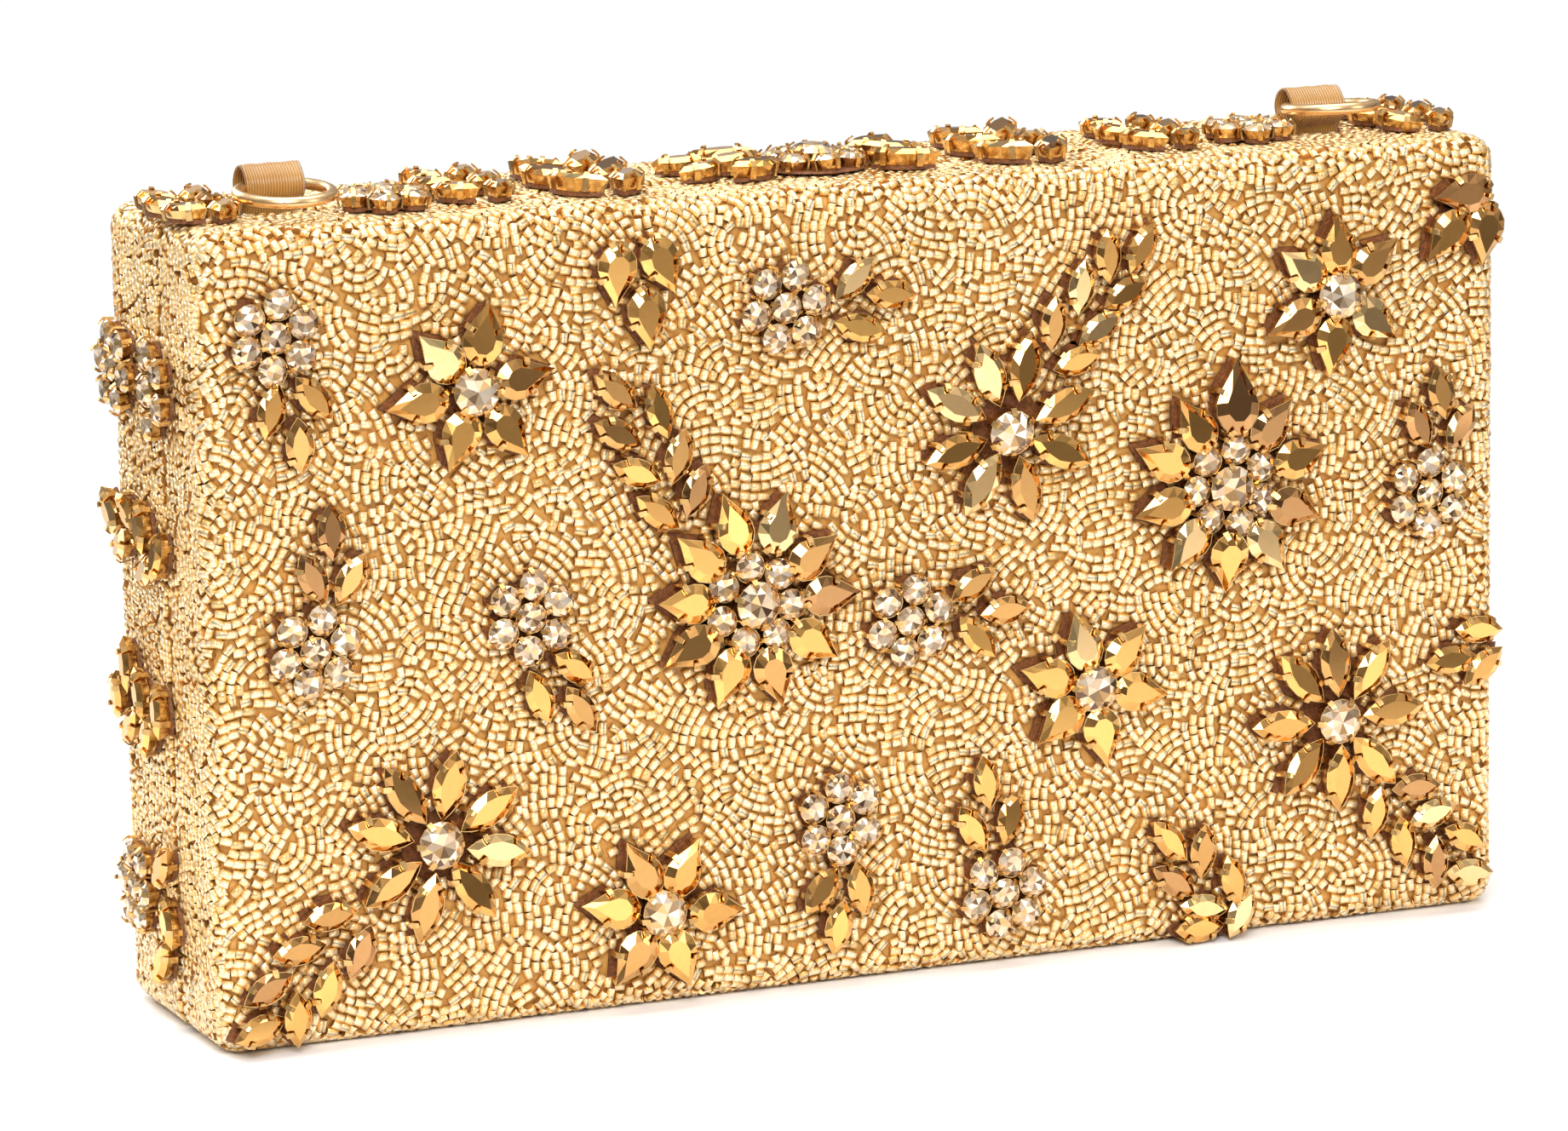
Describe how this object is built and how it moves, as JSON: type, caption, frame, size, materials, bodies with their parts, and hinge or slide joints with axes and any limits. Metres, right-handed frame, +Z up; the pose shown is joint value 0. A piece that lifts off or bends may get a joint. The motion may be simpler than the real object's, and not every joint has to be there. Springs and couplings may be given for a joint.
{
  "type": "beaded box clutch",
  "caption": "Rectangular evening bag of two hinged trays covered in gold bugle beads and claw-set stones, with two small rings on ribbon loops on top.",
  "frame": {"origin": "on the base, midway across the width and the depth of the closed case", "axes": "+X along the long side, to the right seen from the front; +Y from the front panel to the back panel; +Z up"},
  "size_m": [0.2466, 0.0524, 0.1461],
  "materials": {
    "beadwork": "silver-lined gold glass beads couched on gold cloth",
    "board": "stiff fibreboard",
    "lining": "gold satin",
    "gusset": "gold satin, folded",
    "hinge": "brushed",
    "magnet": "nickel plated",
    "ribbon": "gold satin ribbon with fine ribs",
    "ring": "satin gold plate",
    "stones": "faceted mirror-backed glass in gold claw settings"
  },
  "bodies": {
    "back": {"back_cover": "beadwork", "back_board": "board", "back_lining": "lining", "slip_pocket": "lining", "back_magnet_left": "magnet", "back_magnet_right": "magnet", "back_hinge_leaf": "hinge", "hinge_pin": "hinge", "left_gusset": "gusset", "right_gusset": "gusset", "left_ribbon_loop": "ribbon", "right_ribbon_loop": "ribbon", "left_motif_1": "stones", "left_motif_2": "stones", "left_motif_3": "stones", "left_motif_4": "stones", "right_motif_1": "stones", "right_motif_2": "stones", "right_motif_3": "stones", "right_motif_4": "stones", "top_motif_1": "stones", "top_motif_3": "stones", "top_motif_4": "stones", "top_motif_5": "stones", "top_motif_6": "stones", "top_motif_7": "stones", "top_motif_9": "stones"},
    "front": {"front_cover": "beadwork", "front_board": "board", "front_lining": "lining", "front_magnet_left": "magnet", "front_magnet_right": "magnet", "front_hinge_leaf": "hinge", "front_motif_01": "stones", "front_motif_02": "stones", "front_motif_03": "stones", "front_motif_04": "stones", "front_motif_05": "stones", "front_motif_06": "stones", "front_motif_07": "stones", "front_motif_08": "stones", "front_motif_09": "stones", "front_motif_10": "stones", "front_motif_11": "stones", "front_motif_12": "stones", "front_motif_13": "stones", "front_motif_14": "stones", "front_motif_15": "stones", "front_motif_16": "stones", "front_motif_17": "stones", "front_motif_18": "stones", "front_motif_19": "stones", "front_motif_20": "stones", "front_motif_21": "stones", "front_motif_22": "stones", "front_motif_23": "stones", "top_motif_2": "stones", "top_motif_8": "stones"},
    "left_ring_body": {"left_ring": "ring"},
    "right_ring_body": {"right_ring": "ring"}
  },
  "joints": [
    {"name": "front_tray_hinge", "type": "hinge", "parent": "back", "child": "front", "pos_m": [0, -0.0035, 0.0015], "axis": [1, 0, 0], "range_deg": [0, 33]},
    {"name": "left_ring_swing", "type": "hinge", "parent": "back", "child": "left_ring_body", "pos_m": [-0.0994, -0.002, 0.1424], "axis": [-1, 0, 0], "range_deg": [0, 175]},
    {"name": "right_ring_swing", "type": "hinge", "parent": "back", "child": "right_ring_body", "pos_m": [0.094, -0.002, 0.1424], "axis": [-1, 0, 0], "range_deg": [0, 175]}
  ]
}
